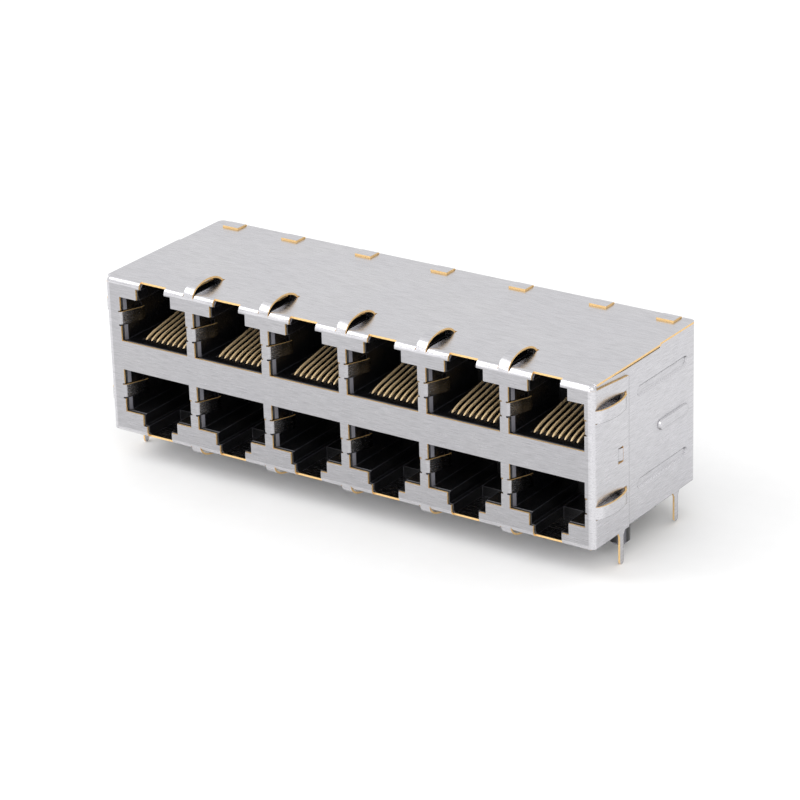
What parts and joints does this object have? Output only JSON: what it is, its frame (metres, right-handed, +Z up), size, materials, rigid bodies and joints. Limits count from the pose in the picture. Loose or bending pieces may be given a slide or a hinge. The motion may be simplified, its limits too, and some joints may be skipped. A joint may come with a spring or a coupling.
{
  "type": "rj45 board jack",
  "caption": "Shielded modular jack for board mounting, with two stacked rows of ports, sprung ground fingers, locating pegs and ground pins.",
  "frame": {"origin": "on the board plane, under the middle of the front face", "axes": "+X along the row of ports, +Y from the front face to the back, +Z up from the board"},
  "size_m": [0.089, 0.0291, 0.0316],
  "materials": {
    "nickel_plate": "satin nickel plate on brass, brass showing at cut edges",
    "black_resin": "moulded, low sheen",
    "dark_resin": "moulded, low sheen",
    "gold_plate": "polished gold plate"
  },
  "bodies": {
    "root": {"front_shield": "nickel_plate", "rear_shield": "nickel_plate", "housing": "black_resin", "tail_plate": "dark_resin", "upper_insert_1": "dark_resin", "upper_insert_2": "dark_resin", "upper_insert_3": "dark_resin", "upper_insert_4": "dark_resin", "upper_insert_5": "dark_resin", "upper_insert_6": "dark_resin", "lower_insert_1": "dark_resin", "lower_insert_2": "dark_resin", "lower_insert_3": "dark_resin", "lower_insert_4": "dark_resin", "lower_insert_5": "dark_resin", "lower_insert_6": "dark_resin", "upper_contacts_1": "gold_plate", "upper_contacts_2": "gold_plate", "upper_contacts_3": "gold_plate", "upper_contacts_4": "gold_plate", "upper_contacts_5": "gold_plate", "upper_contacts_6": "gold_plate", "lower_contacts_1": "gold_plate", "lower_contacts_2": "gold_plate", "lower_contacts_3": "gold_plate", "lower_contacts_4": "gold_plate", "lower_contacts_5": "gold_plate", "lower_contacts_6": "gold_plate"}
  },
  "joints": []
}
